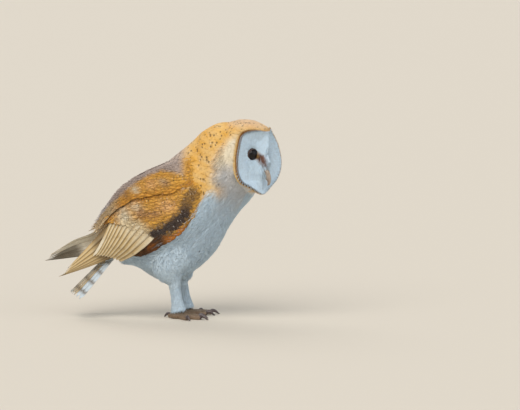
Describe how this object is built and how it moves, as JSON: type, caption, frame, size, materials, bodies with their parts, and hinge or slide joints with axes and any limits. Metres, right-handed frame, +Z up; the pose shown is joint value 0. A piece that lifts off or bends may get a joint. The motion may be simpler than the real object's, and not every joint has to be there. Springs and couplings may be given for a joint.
{
  "type": "barn owl",
  "caption": "Life-size barn owl standing alert, leaning forward with its head turned to its right and its long wings folded over the tail.",
  "frame": {"origin": "middle of the bird's box, on the floor that its toes stand on", "axes": "+X the way the body faces, +Y the bird's left, +Z up"},
  "size_m": [0.3448, 0.126, 0.2889],
  "materials": {
    "plumage_gold": "soft feathers, gold with fine grey and dark specks",
    "plumage_white": "soft white feathers",
    "facial_disc": "fine silky white feathers",
    "flight_feathers": "smooth buff vanes with faint darker bars",
    "bill": "smooth pale pinkish horn",
    "eyes": "wet black gloss",
    "feet": "scaly pinkish brown skin",
    "claws": "smooth dark horn"
  },
  "bodies": {
    "root": {"bill_lower": "bill", "bill_upper": "bill", "claw_left_1": "claws", "claw_left_2": "claws", "claw_left_3": "claws", "claw_left_4": "claws", "claw_right_1": "claws", "claw_right_2": "claws", "claw_right_3": "claws", "claw_right_4": "claws", "eye_left": "eyes", "eye_right": "eyes", "facial_disc": "facial_disc", "foot_left": "feet", "foot_right": "feet", "head": "plumage_gold", "leg_left_shank": "plumage_white", "leg_left_thigh": "plumage_white", "leg_right_shank": "plumage_white", "leg_right_thigh": "plumage_white", "neck": "plumage_gold", "scapulars_left": "plumage_gold", "scapulars_right": "plumage_gold", "tail": "flight_feathers", "toe_left_1": "feet", "toe_left_2": "feet", "toe_left_3": "feet", "toe_left_4": "feet", "toe_right_1": "feet", "toe_right_2": "feet", "toe_right_3": "feet", "toe_right_4": "feet", "trunk": "plumage_white", "wing_left_coverts": "plumage_gold", "wing_left_primaries": "flight_feathers", "wing_left_secondaries": "flight_feathers", "wing_right_coverts": "plumage_gold", "wing_right_primaries": "flight_feathers", "wing_right_secondaries": "flight_feathers"}
  },
  "joints": []
}
